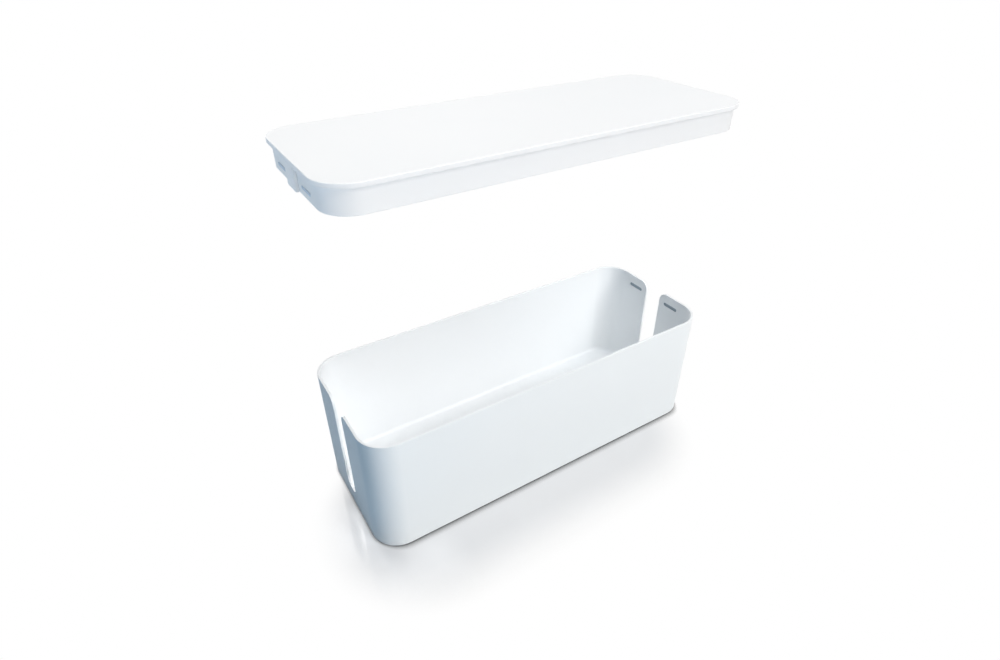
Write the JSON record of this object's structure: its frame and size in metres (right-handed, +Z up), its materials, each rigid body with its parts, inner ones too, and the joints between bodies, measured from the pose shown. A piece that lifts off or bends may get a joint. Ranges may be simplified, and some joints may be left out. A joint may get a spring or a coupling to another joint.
{
  "type": "cable management box",
  "caption": "Long cable management box with rounded corners: open base with a cable slot in each end wall, rubber feet and a lift-off lid, shown raised above the base.",
  "frame": {"origin": "on the surface the box stands on, under the middle of its footprint", "axes": "+Z up, +X along the box's length towards the end that is on the right in the picture, +Y away from the viewer's side to the long rear wall"},
  "size_m": [0.406, 0.154, 0.3683],
  "materials": {
    "base_shell": "white moulded plastic, satin",
    "lid_shell": "white moulded plastic, satin",
    "foot_pad": "soft grey rubber, matte"
  },
  "bodies": {
    "base": {"base": "base_shell", "foot_front_left": "foot_pad", "foot_front_right": "foot_pad", "foot_rear_left": "foot_pad", "foot_rear_right": "foot_pad"},
    "lid": {"lid": "lid_shell"}
  },
  "joints": [
    {"name": "lid_lift", "type": "slide", "parent": "base", "child": "lid", "axis": [0, 0, 1], "range_m": [-0.2295, 0]}
  ]
}
